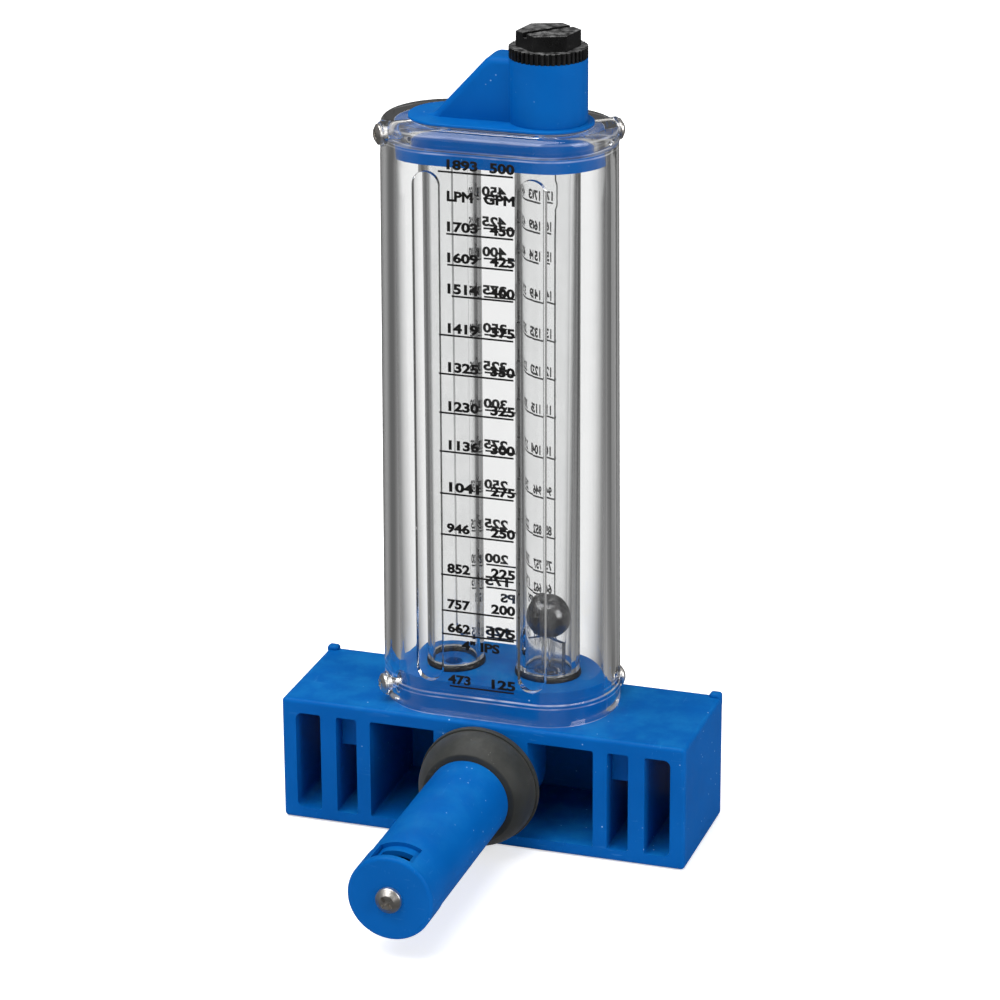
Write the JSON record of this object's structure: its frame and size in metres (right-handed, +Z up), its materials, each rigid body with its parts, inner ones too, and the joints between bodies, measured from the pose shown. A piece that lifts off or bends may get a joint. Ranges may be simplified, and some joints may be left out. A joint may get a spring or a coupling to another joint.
{
  "type": "pitot rotameter",
  "caption": "Clear flow meter with a ball float beside a printed scale, on a slotted saddle block with a pitot stem that enters a pipe.",
  "frame": {"origin": "middle of the saddle block's flat underside, below the clear body's axis", "axes": "+Z up along the tubes, +X along the saddle block towards the metering tube, -Y along the pitot stem into the pipe"},
  "size_m": [0.112, 0.1107, 0.2178],
  "materials": {
    "blue_plastic": "satin moulded plastic",
    "clear_plastic": "clear polished",
    "clear_tube": "clear polished",
    "black_plastic": "fine matt",
    "grey_rubber": "soft matt",
    "black_rubber": "matt",
    "stainless": "bright",
    "float_steel": "polished"
  },
  "bodies": {
    "meter_body": {"saddle_block": "blue_plastic", "pitot_stem": "blue_plastic", "pitot_tip_cap": "blue_plastic", "top_cap": "blue_plastic", "pitot_tip_screw": "stainless", "stem_seal_ring": "black_rubber", "pipe_gasket": "grey_rubber", "clear_body": "clear_plastic", "metering_tube": "clear_tube", "return_tube": "clear_tube", "metering_tube_lower_ring": "black_rubber", "metering_tube_upper_ring": "black_rubber", "return_tube_lower_ring": "black_rubber", "return_tube_upper_ring": "black_rubber", "lower_float_stop": "clear_tube", "body_screw_lower_left": "stainless", "body_screw_lower_right": "stainless", "body_screw_upper_left": "stainless", "body_screw_upper_right": "stainless"},
    "float": {"float_ball": "float_steel"},
    "cleaning_plug": {"cleaning_plug": "black_plastic", "cleaning_plug_ring": "black_rubber", "upper_float_stop": "clear_tube"}
  },
  "joints": [
    {"name": "float_rise", "type": "slide", "parent": "meter_body", "child": "float", "axis": [0, 0, 1], "range_m": [0, 0.1236]},
    {"name": "cleaning_plug_turn", "type": "hinge", "parent": "meter_body", "child": "cleaning_plug", "pos_m": [0.0131, 0, 0.21], "axis": [0, 0, 1], "continuous": true}
  ]
}
